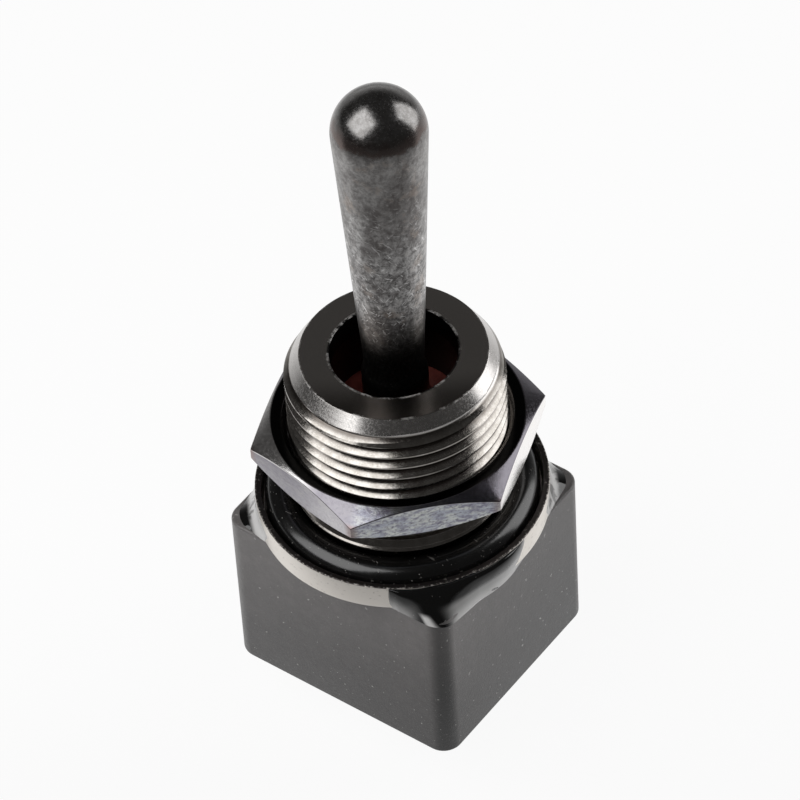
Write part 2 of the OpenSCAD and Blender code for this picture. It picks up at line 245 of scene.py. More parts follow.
def soften(corners, radius, steps=4):
    """Rounds the inner corners of a polyline whose points lie on the second last axis.

    Each corner becomes the curve (1-t)^2 a + 2t(1-t) corner + t^2 b, where a and b lie the
    radius away along its two edges, or less where an edge is short.
    """
    corners = np.asarray(corners, float)
    edge = np.diff(corners, axis=-2)
    length = np.linalg.norm(edge, axis=-1, keepdims=True) + 1e-12
    unit = edge / length
    size = np.broadcast_to(np.asarray(radius, float), corners.shape[:-1])[..., 1:-1, None]
    room = 0.45 * np.minimum(length[..., :-1, :], length[..., 1:, :])
    cut = np.minimum(size, room)
    middle = corners[..., 1:-1, :]
    a = (middle - unit[..., :-1, :] * cut)[..., None, :]
    b = (middle + unit[..., 1:, :] * cut)[..., None, :]
    t = np.linspace(0, 1, steps + 1)[:, None]
    curve = (1 - t) ** 2 * a + 2 * t * (1 - t) * middle[..., None, :] + t**2 * b
    curve = curve.reshape(*corners.shape[:-2], -1, corners.shape[-1])
    return np.concatenate([corners[..., :1, :], curve, corners[..., -1:, :]], axis=-2)


def rounded(rows, steps=4):
    """A softened profile. Each row is a corner's place and, as its last value, its rounding."""
    rows = np.array(rows, float)
    return soften(rows[:, :-1], rows[:, -1], steps)


def turned(profile, columns):
    """Carries an (r, z) profile round the axis: x = r cos a, y = r sin a."""
    angle = np.linspace(0, TURN, columns + 1)[:, None]
    r, z = np.broadcast_to(profile, (columns + 1, *profile.shape)).transpose(2, 0, 1)
    return np.stack([r * np.cos(angle), r * np.sin(angle), z], axis=-1)


def case_surface(corner_points=13):
    """A profile of (inset, corner radius, height) carried round a rounded rectangle.

    A point of the outline is the corner's centre plus the corner radius times (cos a, sin a);
    an inset of the full half width shrinks the outline to the middle of the floor.
    """
    profile = rounded(
        [
            (HALF_Y, 0, WELL_TOP, 0),
            (WELL_WALL, WELL_CORNER, WELL_TOP, INNER_EDGE),
            (WELL_WALL, WELL_CORNER, CASE_LOW, INNER_EDGE),
            (0, CASE_CORNER, CASE_LOW, CASE_EDGE),
            (0, CASE_CORNER, CASE_TOP, CASE_EDGE),
            (CASE_WALL, INNER_CORNER, CASE_TOP, INNER_EDGE),
            (CASE_WALL, INNER_CORNER, FLOOR_TOP, INNER_EDGE),
            (HALF_Y, 0, FLOOR_TOP, 0),
        ],
        steps=6,
    )
    inset, corner, height = profile.T
    quarter = np.repeat(np.arange(4), corner_points)
    angle = quarter * TURN / 4 + np.tile(np.linspace(0, TURN / 4, corner_points), 4)
    angle = np.append(angle, angle[0] + TURN)[:, None]
    quarter = np.append(quarter, 0)[:, None]
    side_x = np.where((quarter == 0) | (quarter == 3), 1.0, -1.0)
    side_y = np.where(quarter < 2, 1.0, -1.0)
    reach_x = np.where(inset < HALF_Y, HALF_X - inset - corner, 0)
    reach_y = HALF_Y - inset - corner
    x = side_x * reach_x + corner * np.cos(angle)
    y = side_y * reach_y + corner * np.sin(angle)
    return np.stack([x, y, np.broadcast_to(height, x.shape)], axis=-1)


def bushing_surface(columns=240):
    """A turned body whose outer wall carries a screw thread.

    Along the thread, height = foot + pitch (v + a / turn), so each row follows the helix. The
    radius is the crest's less a trapezoid of v's fraction, kept inside a run-out cone at the
    foot and the lead-in cone at the top, and less a small bell curve at the nick. The rest is a
    profile turned about the axis.
    """
    low = rounded(
        [
            (POCKET_R, SPIGOT_LOW, 0),
            (SPIGOT_R, SPIGOT_LOW, 0.1),
            (SPIGOT_R, CASE_TOP, 0.05),
            (FLANGE_R, CASE_TOP, 0.08),
            (FLANGE_R, 0, 0.07),
            (FLANGE_R - RIM_W, 0, 0.05),
            (FLANGE_R - RIM_W, -GROOVE_H, 0.1),
            (RING_SEAT_R, -GROOVE_H, 0.1),
            (RING_SEAT_R, SHANK_LOW, 0.1),
            *[(THREAD_R - depth, SHANK_LOW + rise, edge) for depth, rise, edge in SHANK_BANDS],
            (RELIEF_R, THREAD_LOW, 0),
        ]
    )
    high = rounded(
        [
            (END_FACE_R, BUSHING_TOP, 0),
            (MOUTH_R, BUSHING_TOP, 0.06),
            (MOUTH_R, SEAL_TOP, 0.05),
            (POCKET_R, SEAL_TOP, 0.05),
            (POCKET_R, SPIGOT_LOW, 0),
        ]
    )
    share = np.linspace(0, 1, columns + 1)[:, None]
    angle = share * TURN
    turns = int((BUSHING_TOP - THREAD_LOW) / THREAD_PITCH) + 3
    v = np.arange(0, turns, THREAD_STEP)
    z = THREAD_LOW + THREAD_PITCH * (v - THREAD_SHIFT + share)
    z = np.clip(z, THREAD_LOW, BUSHING_TOP)
    from_crest = np.abs((v + 0.5) % 1 - 0.5)
    flank = np.clip((from_crest - CREST_HALF) / (ROOT_START - CREST_HALF), 0, 1)
    thread = THREAD_R - THREAD_DEPTH * flank
    run_out = RELIEF_R + RUN_OUT_SLOPE * (z - THREAD_LOW)
    lead_in = END_FACE_R + (THREAD_R - END_FACE_R) / LEAD_H * (BUSHING_TOP - z)
    from_nick = ((angle - NICK_ANGLE) / NICK_W) ** 2 + ((z - NICK_Z) / NICK_H) ** 2
    r = np.minimum(np.minimum(thread, run_out), lead_in) - NICK_DEPTH * np.exp(-from_nick)
    wall = np.stack([r * np.cos(angle), r * np.sin(angle), z], axis=-1)
    return np.concatenate([turned(low, columns), wall, turned(high, columns)], axis=1)


def nut_surface(side_columns=64):
    """A profile carried round a hexagon with softly rounded corners.

    The outline's radius is flat / cos b, with b the angle from the nearest flat's middle, and
    near a corner it is where the ray meets the corner's small circle. Cones bevel both faces:
    their height on the outline falls by the bevel's slope times its radius past the flat ring.
    """
    around = np.linspace(0, TURN, 6 * side_columns + 1)
    half_side = TURN / 12
    from_corner = (around + half_side) % (2 * half_side) - half_side
    centre = (NUT_FLAT - NUT_ROUND) / np.cos(half_side)
    touch = np.arctan2(NUT_ROUND * np.sin(half_side), centre + NUT_ROUND * np.cos(half_side))
    flat = NUT_FLAT / np.cos(half_side - np.abs(from_corner))
    inside = np.maximum(NUT_ROUND**2 - (centre * np.sin(from_corner)) ** 2, 0)
    arc = centre * np.cos(from_corner) + np.sqrt(inside)
    outline = np.where(np.abs(from_corner) < touch, arc, flat)
    fall = (outline - NUT_FACE_R) * np.tan(np.radians(NUT_BEVEL))
    section = [
        (NUT_BORE, NUT_LOW + NUT_SINK),
        (NUT_BORE + NUT_SINK, NUT_LOW),
        (NUT_FACE_R, NUT_LOW),
        (outline, NUT_LOW + fall),
        (outline, NUT_TOP - fall),
        (NUT_FACE_R, NUT_TOP),
        (NUT_BORE + NUT_SINK, NUT_TOP),
        (NUT_BORE, NUT_TOP - NUT_SINK),
        (NUT_BORE, NUT_LOW + NUT_SINK),
    ]
    same = np.ones_like(outline)
    corners = np.stack([np.stack([r * same, z * same], axis=-1) for r, z in section], axis=1)
    profile = soften(corners, NUT_EDGE, steps=3)
    r, z = profile[..., 0], profile[..., 1]
    angle = around[:, None] + np.radians(NUT_TURN)
    return np.stack([r * np.cos(angle), r * np.sin(angle), z], axis=-1)


def ring_surface(section_points=65):
    """A torus whose section has a low mould line round its outer and inner waist.

    The section's radius is the ring's less a little, plus a narrow bell curve at each waist.
    """
    across = np.linspace(0, TURN, section_points)
    line = np.exp(-((np.sin(across) / MOULD_LINE_W) ** 2))
    section = RING_R - MOULD_LINE_H + MOULD_LINE_H * line
    r = RING_MIDDLE_R + section * np.cos(across)
    z = RING_Z + section * np.sin(across)
    return turned(np.stack([r, z], axis=-1), columns=240)


def lever_surface(ball_points=25, tip_points=48):
    """A turned lever: tail, pivot ball, neck, taper and ball tip.

    The balls are arcs of circles. The taper leaves the tip along its tangent, and the other
    corners are softened.
    """
    slope = np.arcsin((TIP_R - ROOT_R) / (TIP_Z - BUSHING_TOP))
    foot_z = BUSHING_TOP - FOOT_DROP
    foot_r = ROOT_R - FOOT_DROP * np.tan(slope)
    pivot = np.linspace(-np.arccos(TAIL_R / BALL_R), np.arccos(NECK_R / BALL_R), ball_points)
    ball = np.stack([BALL_R * np.cos(pivot), PIVOT_Z + BALL_R * np.sin(pivot)], axis=-1)
    tip = np.linspace(-slope, TURN / 4, tip_points)
    cap = np.stack([TIP_R * np.cos(tip), TIP_Z + TIP_R * np.sin(tip)], axis=-1)
    cap[-1, 0] = 0
    taper_top = cap[0] - [0, TAPER_GAP]
    tail = soften([(0, TAIL_LOW), (TAIL_R, TAIL_LOW), ball[0]], TAIL_ROUND)
    neck = soften([ball[-1], (NECK_R, foot_z - NECK_DROP), (foot_r, foot_z), taper_top], NECK_ROUND)
    return turned(np.concatenate([tail, ball[1:-1], neck, cap]), columns=160)


def seal_surface():
    """A diaphragm, which is a profile with softened corners turned about the axis.

    It has a clamped edge, a flat web and a lip that rises along the lever's neck.
    """
    profile = rounded(
        [
            (CLAMP_R, SEAL_LOW, 0),
            (SEAL_R, SEAL_LOW, 0.1),
            (SEAL_R, SEAL_TOP, 0.1),
            (WEB_R, SEAL_TOP, 0.2),
            (LIP_FOOT_R, SEAL_TOP - WEB_DIP, 0.25),
            (LIP_R, LIP_TOP, 0.08),
            (LIP_BORE, LIP_TOP, 0.06),
            (LIP_BORE, SEAL_TOP - WEB_H + WEB_DIP, 0.1),
            (HOLLOW_R, SEAL_TOP - WEB_H, 0.2),
            (CLAMP_R, SEAL_LOW, 0),
        ],
        steps=6,
    )
    return turned(profile, columns=128)


def spring_surface(low, high, turn_columns=36, wire_sides=12):
    """A round wire carried up a helix inside a box.

    The wire's middle keeps its radius and rises evenly over the turns. Its ring stands in the plane
    through the helix's axis and shrinks to a point at both ends.
    """
    middle = (low + high) / 2
    coil_r = (high[0] - low[0]) / 2 - WIRE_R
    climb = high[2] - low[2] - 2 * WIRE_R
    share = np.linspace(0, 1, SPRING_TURNS * turn_columns + 1)
    share = np.concatenate([share[:1], share, share[-1:]])[:, None]
    wire = np.full_like(share, WIRE_R)
    wire[[0, -1]] = 0
    around = np.linspace(0, TURN, wire_sides + 1)
    angle = SPRING_TURNS * TURN * share
    r = coil_r + wire * np.cos(around)
    z = low[2] + WIRE_R + climb * share + wire * np.sin(around)
    return np.stack([middle[0] + r * np.cos(angle), middle[1] + r * np.sin(angle), z], axis=-1)


def case_reach(angle):
    """Distance from the axis to the case's outline along an angle.

    It is the nearer side wall, or where the ray meets the corner's circle.
    """
    ray = np.abs(np.stack([np.cos(angle), np.sin(angle)], axis=-1))
    centre = np.array([HALF_X - CASE_CORNER, HALF_Y - CASE_CORNER])
    along = ray @ centre
    inside = np.maximum(along**2 - centre @ centre + CASE_CORNER**2, 0)
    arc = along + np.sqrt(inside)
    walls = np.min([HALF_X, HALF_Y] / np.maximum(ray, 1e-6), axis=-1)
    in_corner = np.all(arc[..., None] * ray > centre, axis=-1)
    return np.where(in_corner, arc, walls)


def running_mean(values, half=6):
    """The mean of each value and of its neighbours on both sides, with the end values held."""
    window = 2 * half + 1
    return np.convolve(np.pad(values, half, "edge"), np.ones(window) / window, "valid")


def epoxy_surface(knots, crest, fall, lip, columns=121, rows=41):
    """A pillow of cast resin between the flange's side and a corner of the case.

    Knots of (degrees, swell, drop below the case's top) are joined by straight lines, rounded off
    by a running mean. A section runs from the crest on the flange to a lip at the case's edge: its
    radius is a straight line plus the swell times a half sine of s^lean, and its height goes down by
    s to the power fall. The lip stays outside the seam by a soft maximum, (a + sqrt(a^2 + b^2)) / 2.
    Sections shrink to a point at both ends and close inside the flange and the case.
    """
    knot_degrees, knot_swell, knot_drop = np.array(knots, float).T
    part = np.linspace(0, 1, columns)
    degrees = knot_degrees[0] + (knot_degrees[-1] - knot_degrees[0]) * part
    swell = running_mean(np.interp(degrees, knot_degrees, knot_swell))[:, None]
    low = CASE_TOP - running_mean(np.interp(degrees, knot_degrees, knot_drop))[:, None]
    angle = np.radians(degrees)[:, None]
    reach = case_reach(angle)
    apart = reach + lip - RESIN_SEAM_R
    edge = RESIN_SEAM_R + (apart + np.sqrt(apart**2 + RESIN_SOFT**2)) / 2
    high = crest + sum(size * np.sin(count * angle) for size, count in RESIN_WAVES)
    s = np.linspace(0, 1, rows)
    r = FLANGE_R - RESIN_SKIN + (edge - FLANGE_R) * s + swell * np.sin(np.pi * s**RESIN_LEAN)
    z = high - (high - low) * s**fall
    same = np.ones_like(reach)
    inside = same * (FLANGE_R - np.array(RESIN_IN_FLANGE))
    r = np.hstack([r, reach - RESIN_IN_CASE, inside, r[:, :1]])
    z = np.hstack([z, low, same * (CASE_TOP - RESIN_UNDER), high - RESIN_UNDER, z[:, :1]])
    full = ((part > 0) & (part < 1))[:, None]
    r = np.where(full, r, RESIN_SEAM_R)
    z = np.where(full, z, RESIN_END_Z)
    return np.stack([r * np.cos(angle), r * np.sin(angle), z], axis=-1)


# Shader sockets as values


class Shade:
    """A socket of a node tree. Operators add Math nodes, and node() adds any other kind."""

    def __init__(self, tree, socket=None):
        self.tree = tree
        self.socket = socket

    def node(self, kind, settings=None, inputs=None, output=0):
        """Adds a node: its settings first, then values or links for its sockets."""
        made = self.tree.nodes.new(kind)
        for key, value in (settings or {}).items():
            setattr(made, key, value)
        for key, value in (inputs or {}).items():
            target = made.inputs[key]
            if isinstance(value, Shade):
                self.tree.links.new(value.socket, target)
            elif target.type == "RGBA" and len(value) == 3:
                target.default_value = (*value, 1)
            else:
                target.default_value = value
        return Shade(self.tree, made.outputs[output])

    def math(self, operation, first, second):
        """A Math node on two values."""
        return self.node("ShaderNodeMath", {"operation": operation}, {0: first, 1: second})

    def __add__(self, other):
        return self.math("ADD", self, other)

    def __radd__(self, other):
        return self.math("ADD", other, self)

    def __sub__(self, other):
        return self.math("SUBTRACT", self, other)

    def __rsub__(self, other):
        return self.math("SUBTRACT", other, self)

    def __mul__(self, other):
        return self.math("MULTIPLY", self, other)

    def __rmul__(self, other):
        return self.math("MULTIPLY", other, self)

    def __truediv__(self, other):
        return self.math("DIVIDE", self, other)

    def __rtruediv__(self, other):
        return self.math("DIVIDE", other, self)

    def clip(self, low, high):
        """This value, kept between low and high."""
        below = self.math("MINIMUM", self, high)
        return self.math("MAXIMUM", below, low)

    def ramp(self, low, high):
        """0 below low, 1 above high and a smooth step between them."""
        settings = {"interpolation_type": "SMOOTHSTEP"}
        inputs = {"Value": self, "From Min": low, "From Max": high}
        return self.node("ShaderNodeMapRange", settings, inputs)

    def blend(self, first, second):
        """The first colour where this value is 0 and the second where it is 1.

        A Mix node's sockets 6 and 7 and its output 2 are the ones for colours.
        """
        settings = {"data_type": "RGBA"}
        return self.node("ShaderNodeMix", settings, {0: self, 6: first, 7: second}, 2)

    def stretch(self, x, y, z):
        """A vector times one factor for each axis."""
        settings = {"operation": "MULTIPLY"}
        return self.node("ShaderNodeVectorMath", settings, {0: self, 1: (x, y, z)})

    def towards(self, way):
        """How far a vector reaches along a direction."""
        settings = {"operation": "DOT_PRODUCT"}
        return self.node("ShaderNodeVectorMath", settings, {0: self, 1: way}, "Value")

    def noise(self, scale, detail=2.0, roughness=0.5):
        """Noise from 0 to 1 at this place, with the scale in grains a millimetre."""
        inputs = {"Vector": self, "Scale": scale, "Detail": detail, "Roughness": roughness}
        return self.node("ShaderNodeTexNoise", {}, inputs, "Fac")

    def rings(self, scale, detail):
        """Noise along this one value, with the scale in grains a millimetre."""
        inputs = {"W": self, "Scale": scale, "Detail": detail}
        return self.node("ShaderNodeTexNoise", {"noise_dimensions": "1D"}, inputs, "Fac")

    def parts(self):
        """The three components of a vector."""
        split = self.node("ShaderNodeSeparateXYZ", {}, {0: self}).socket.node
        return [Shade(self.tree, output) for output in split.outputs]

    def radius(self):
        """Distance of a place from the switch's axis."""
        level = self.stretch(1, 1, 0)
        return self.node("ShaderNodeVectorMath", {"operation": "LENGTH"}, {0: level}, "Value")


def start_finish(name):
    """A new material and the place on the object, in millimetres."""
    material = bpy.data.materials.new(name)
    material.use_nodes = True
    material.node_tree.nodes.clear()
    place = Shade(material.node_tree).node("ShaderNodeTexCoord", {}, {}, "Object")
    return material, place.stretch(1 / MM, 1 / MM, 1 / MM)


def end_finish(material, relief, depth, **sockets):
    """Adds the shader and its output. A relief of 1 stands depth millimetres high."""
    root = Shade(material.node_tree)
    inputs = {name.replace("_", " "): value for name, value in sockets.items()}
    inputs["Normal"] = root.node("ShaderNodeBump", {}, {"Height": relief, "Distance": depth * MM})
    shader = root.node("ShaderNodeBsdfPrincipled", {}, inputs)
    output = material.node_tree.nodes.new("ShaderNodeOutputMaterial")
    material.node_tree.links.new(shader.socket, output.inputs["Surface"])
    return material


# Finishes: masks from 0 to 1 lay one colour over another


def moulded_black():
    """Dark phenolic moulding: grain, soft clouds and pale specks, paler upwards.

    The right face has a painted sheen beside the near edge, where the specks are also denser, and painted
    shade towards its far end. The near edge itself and the foot are darker with painted shade, and the
    paleness upwards is painted light.
    """
    material, place = start_finish("moulded_black")
    x, y, z = place.parts()
    cloud = place.noise(0.3, 5, 0.55)
    patch = place.noise(1.1, 4, 0.6)
    grain = place.noise(11, 3, 0.65)
    blotch = place.noise(3.5, 5, 0.7)
    right = x.ramp(HALF_X - 0.4, HALF_X - 0.05)
    # painted sheen on the right face beside the near edge, where the specks are also denser
    painted_sheen_and_dust = right * (1 - y.ramp(0.3 - HALF_Y, 4.2 - HALF_Y))
    # painted shade: the right face darkens towards its far end
    far = right * y.ramp(0.7 - HALF_Y, 0.3 + HALF_Y)
    # painted shade along the near upright edge
    near_edge_painted_shade = x.ramp(HALF_X - 1, HALF_X - 0.4) * (1 - y.ramp(0.5 - HALF_Y, 1.1 - HALF_Y))
    # painted light and shade: paler upwards and darker towards the foot
    level = z.ramp(CASE_LOW - 0.5, CASE_TOP + 1)
    speck = (place.noise(12, 2, 0.6) + painted_sheen_and_dust * 0.03).ramp(0.68, 0.74)
    crumb = place.noise(4.2, 1).ramp(0.745, 0.76)
    pit = place.noise(7.3, 1).ramp(0.735, 0.77)
    dark = cloud.ramp(0.35, 0.65).blend((0.05, 0.044, 0.043), (0.072, 0.065, 0.064))
    # random paler tone, with the painted sheen and the painted light that grow upwards
    pale = patch.ramp(0.4, 0.7) * 0.2 + painted_sheen_and_dust * 0.25 * level + level * 0.55
    mottled = pale.blend(dark, (0.22, 0.206, 0.203))
    grainy = (grain.ramp(0.45, 0.8) * 0.6).blend(mottled, (0.17, 0.164, 0.16))
    # real pits, plus painted shade at the near edge, at the foot and at the far end of the right face
    pits_and_painted_shade = pit * 0.4 + near_edge_painted_shade * 0.6 + (1 - level) * 0.6 + far * 0.4
    pitted_and_shaded = pits_and_painted_shade.blend(grainy, (0.02, 0.019, 0.019))
    colour = (speck * 0.4 + crumb * 0.8).blend(pitted_and_shaded, (0.45, 0.44, 0.42))
    rough = 0.28 + 0.1 * patch + 0.1 * blotch
    relief = grain + blotch - pit * 0.4
    return end_finish(material, relief, 0.018, Base_Color=colour, Roughness=rough, Specular_IOR_Level=0.72)


def nickel_plate():
    """Turned brass with nickel plate: ring marks, a satin flange, and painted shade in the thread roots,
    low on the shank under the nut and in the bore.

    The end face has painted shade on the near side and is bright in places along its two lips. The
    flange's rim has painted shade on top. The lead-in bevel is painted pale, as painted light, and the
    relief sinks with the height there, so that the bevel catches the light as a slightly flatter one
    would.
    """
    material, place = start_finish("nickel_plate")
    depth = 0.006  # millimetres for a relief of 1
    bevel_sink = 0.114  # millimetres for each millimetre of height
    height = place.parts()[2]
    radius = place.radius()
    stain = place.stretch(1, 1, 0.6).noise(1.6, 5, 0.6)
    grit = place.noise(8, 4, 0.7)
    nick = place.stretch(1, 1, 1.6).noise(3.1, 3, 0.7).ramp(0.6, 0.68)
    marks = (radius + height * 0.83).rings(9, 3)

    # the bore's mask, coloured near black as painted shade
    bore = 1 - radius.ramp(MOUTH_R + 0.05, MOUTH_R + 0.17)
    end_face = height.ramp(BUSHING_TOP - 0.03, BUSHING_TOP - 0.01)
    # painted shade on the near side of the end face
    near_side_shade = end_face * place.towards(FORWARDS).ramp(1.5, 4.2)
    bevel = height.ramp(BUSHING_TOP - 0.95, BUSHING_TOP - 0.8) * (1 - end_face)
    inner_lip = 1 - radius.ramp(MOUTH_R + 0.11, MOUTH_R + 0.21)
    outer_lip = radius.ramp(END_FACE_R - 0.1, END_FACE_R - 0.03)
    lips = (inner_lip + outer_lip) * height.ramp(BUSHING_TOP - 0.07, BUSHING_TOP - 0.04)
    glint = lips * stain.ramp(0.44, 0.56) * grit.ramp(0.3, 0.6)
    # painted shade in the thread roots
    root = (1 - radius.ramp(THREAD_R - 0.37, THREAD_R - 0.09)) * (1 - bevel)
    root = root * height.ramp(THREAD_LOW - 0.2, THREAD_LOW + 0.1)
    # painted shade low down, under the nut and the ring
    shank = 1 - radius.ramp(THREAD_R + 0.05, THREAD_R + 0.1)
    shank = shank * (1 - height.ramp(SHANK_LOW + 0.92, SHANK_LOW + 1.02))
    flange = radius.ramp(FLANGE_R - 0.5, FLANGE_R - 0.4)
    chipped = radius.ramp(FLANGE_R - 0.12, FLANGE_R - 0.05) * grit.ramp(0.5, 0.6)
    # painted shade on top of the flange's rim
    rim = flange * height.ramp(-0.05, -0.02) * (1 - chipped)

    clean = stain.ramp(0.35, 0.7).blend((0.38, 0.355, 0.325), (0.52, 0.495, 0.465))
    grainy = (place.noise(13, 3, 0.7).ramp(0.5, 0.75) * 0.7).blend(clean, (0.68, 0.655, 0.63))
    # painted light: the lead-in bevel is coloured paler
    bevel_painted_light = (bevel * 0.9).blend(grainy, (0.63, 0.61, 0.595))
    root_and_shank_shaded = (root * 0.85 + shank * 0.3).blend(bevel_painted_light, (0.1, 0.085, 0.075))
    satin = flange.blend(root_and_shank_shaded, nick.blend((0.79, 0.75, 0.7), (0.6, 0.565, 0.525)))
    rim_shaded = (rim * (1 - nick * 0.7)).blend(satin, (0.07, 0.062, 0.06))
    bright_end = (end_face * (1 - 0.93 * near_side_shade)).blend(rim_shaded, (0.6, 0.565, 0.535))
    bore_shaded = bore.blend(bright_end, (0.012, 0.011, 0.011))
    colour = (glint * 0.8).blend(bore_shaded, (0.85, 0.83, 0.81))

    rough = 0.13 + 0.14 * grit.ramp(0.4, 0.75) * (1 - end_face) + 0.07 * bevel + 0.24 * flange
    rough = rough + 0.09 * end_face + 0.2 * bore + 0.25 * glint
    turning = (marks * 0.5 + grit * (0.5 - 0.35 * bevel)) * (1 - end_face)
    sunk = height.clip(BUSHING_TOP - LEAD_H, BUSHING_TOP - 0.02) * (bevel_sink / depth)
    relief = turning + nick * flange * 0.5 - sunk
    return end_finish(material, relief, depth, Base_Color=colour, Roughness=rough, Metallic=1.0)


def zinc_plate():
    """Passivated zinc: fine mottling in blue, lilac and straw, brown corners and a black upper face.

    Of the three flats in view the right one is painted pale, as painted light, and the left one has
    painted shade, darker at its far end. The upper bevel is dark violet, partly its own tint and partly
    painted shade, but pale at the far left, with a light line along its foot.
    """
    material, place = start_finish("zinc_plate")
    height = place.parts()[2]
    radius = place.radius()
    speck = place.stretch(1, 1, 1.6).noise(5.5, 5, 0.7)
    streak = place.stretch(1, 1, 2.2).noise(2.2, 6, 0.68)
    hue = place.stretch(1, 1, 2).noise(1.1, 4, 0.6)

    flat_azimuth = NUT_TURN - 30
    rightwards = place.towards(direction(flat_azimuth + 90, 0)) / radius
    leftwards = rightwards * -1
    right = rightwards.ramp(0.46, 0.54)
    left = leftwards.ramp(0.46, 0.54)
    far_left = leftwards.ramp(0.72, 0.95)
    cone = height + (radius - NUT_FACE_R) * np.tan(np.radians(NUT_BEVEL))
    bevel = cone.ramp(NUT_TOP - 0.07, NUT_TOP - 0.02)
    # the bevel's dark violet: partly its own tint, partly painted shade; pale at the far left
    cover = bevel * (0.68 + 0.24 * rightwards.ramp(0, 0.4) + 0.25 * far_left)
    arris = bevel * (1 - bevel) * 2
    corner = radius.ramp(NUT_CORNER - 0.29, NUT_CORNER - 0.02) * (1 - right)
    face = height.ramp(NUT_TOP - 0.03, NUT_TOP - 0.01)
    face = face * (1 - radius.ramp(NUT_FACE_R - 0.06, NUT_FACE_R - 0.02))

    blue = hue.ramp(0.38, 0.62).blend((0.6, 0.63, 0.71), (0.84, 0.87, 0.84))
    mottled = streak.ramp(0.34, 0.56).blend((0.34, 0.33, 0.42), blue)
    specked = (speck.ramp(0.52, 0.66) * 0.8).blend(mottled, (0.17, 0.16, 0.2))
    # painted shade on the left flat, darker towards its far end
    shade = leftwards.ramp(0.6, 0.95).blend((0.5, 0.48, 0.495), (0.2, 0.185, 0.205))
    left_shaded = (left * 0.88).blend(specked, shade)
    # painted light: the right flat is coloured pale
    flats = (right * 0.95).blend(left_shaded, (0.97, 0.94, 0.92))
    violet = cover.blend(flats, far_left.blend((0.1, 0.092, 0.115), (0.85, 0.83, 0.82)))
    lined = arris.blend(violet, (0.9, 0.87, 0.88))
    browned = (corner * 0.7).blend(lined, (0.26, 0.18, 0.165))
    colour = face.blend(browned, (0.015, 0.015, 0.015))
    rough = 0.14 + 0.12 * speck.ramp(0.4, 0.7)
    return end_finish(material, speck, 0.006, Base_Color=colour, Roughness=rough, Metallic=1.0)


def scratches(place, lean):
    """Short straight marks in the lever's skin: the peaks of a noise drawn out along a leaning line.

    The way round the lever and its height span the skin, and the line leans from upright by an
    angle in radians. Each lean reads its own layer of the noise.
    """
    x, y, height = place.parts()
    skin = place.math("ARCTAN2", y, x) * ROOT_R
    across = skin * np.cos(lean) + height * np.sin(lean)
    along = height * np.cos(lean) - skin * np.sin(lean)
    layer = 9 * lean
    drawn_out = place.node("ShaderNodeCombineXYZ", {}, {0: across, 1: along * 0.22, 2: layer})
    return drawn_out.noise(10, 0.6).ramp(0.685, 0.735)


def black_nickel():
    """Dark plated lever: mottled grey with brown patches, scratches and chips, and a glossy ball tip.

    The lower part is the more worn, so its mottling and its marks are stronger. It darkens towards
    the bushing with painted shade, and a brown band runs round the foot of the ball.
    """
    material, place = start_finish("black_nickel")
    height = place.parts()[2]
    mottle = place.noise(3.2, 8, 0.78)
    cloud = place.stretch(1, 1, 0.5).noise(0.5, 4, 0.6)
    grain = place.noise(8, 4, 0.7)
    wander = height + place.noise(1.4, 4, 0.6) * 1.2
    tip = wander.ramp(TIP_Z + 0.95, TIP_Z + 1.25)
    band = tip * (1 - wander.ramp(TIP_Z + 1.3, TIP_Z + 2.1))
    # painted shade towards the bushing
    root = 1 - height.ramp(BUSHING_TOP + 1.2, BUSHING_TOP + 5)
    worn = 1 - 0.85 * (height + cloud * 4).ramp(BUSHING_TOP + 7, TIP_Z + 1)
    scratch = scratches(place, 0.45) + scratches(place, -0.6) + scratches(place, 1.3)
    chip = place.noise(10, 2, 0.6).ramp(0.67, 0.72) * worn
    blot = place.stretch(1, 1, 0.7).noise(1.3, 5, 0.72).ramp(0.47, 0.6)
    patch = place.noise(0.8, 5, 0.65).ramp(0.54, 0.66)

    low_grey = worn.blend((0.24, 0.232, 0.227), (0.09, 0.087, 0.085))
    high_grey = worn.blend((0.355, 0.346, 0.338), (0.57, 0.56, 0.555))
    grey = mottle.ramp(0.36, 0.64).blend(low_grey, high_grey)
    smudged = (cloud.ramp(0.44, 0.6) * 0.5 + blot * 0.4).blend(grey, (0.11, 0.1, 0.096))
    brown = (patch * 0.45).blend(smudged, (0.3, 0.245, 0.205))
    marked = (scratch * worn * 0.75).blend(brown, (0.8, 0.79, 0.785))
    chipped = (chip * 0.3).blend(marked, (0.6, 0.59, 0.585))
    shaded = (root * 0.85).blend(chipped, (0.035, 0.032, 0.03))
    polished = mottle.ramp(0.4, 0.62).blend((0.19, 0.183, 0.178), (0.27, 0.264, 0.26))
    ball = band.blend(polished, (0.17, 0.138, 0.128))
    colour = tip.blend(shaded, ball)
    rough = 0.29 + 0.14 * grain.ramp(0.35, 0.7) - 0.14 * tip
    relief = (mottle * 0.5 + grain * 0.35 - chip * 0.4) * (1 - 0.5 * tip)
    return end_finish(material, relief, 0.014, Base_Color=colour, Roughness=rough, Metallic=1.0)


def ring_rubber():
    """Black rubber with a soft gloss, dust and a little lint."""
    material, place = start_finish("ring_rubber")
    dust_grey = (0.3, 0.29, 0.27)
    cloud = place.noise(0.8, 4)
    dust = place.noise(7, 1).ramp(0.73, 0.77)
    lint = place.stretch(0.7, 2.4, 2.4).noise(1.9, 2).ramp(0.7, 0.73)
    black = (cloud.ramp(0.45, 0.7) * 0.5).blend((0.002, 0.002, 0.002), (0.005, 0.005, 0.005))
    dusty = (dust * 0.8).blend(black, dust_grey)
    colour = (lint * 0.3).blend(dusty, dust_grey)
    rough = 0.15 + 0.1 * cloud + 0.3 * dust
    return end_finish(material, cloud, 0.01, Base_Color=colour, Roughness=rough, Specular_IOR_Level=0.9)


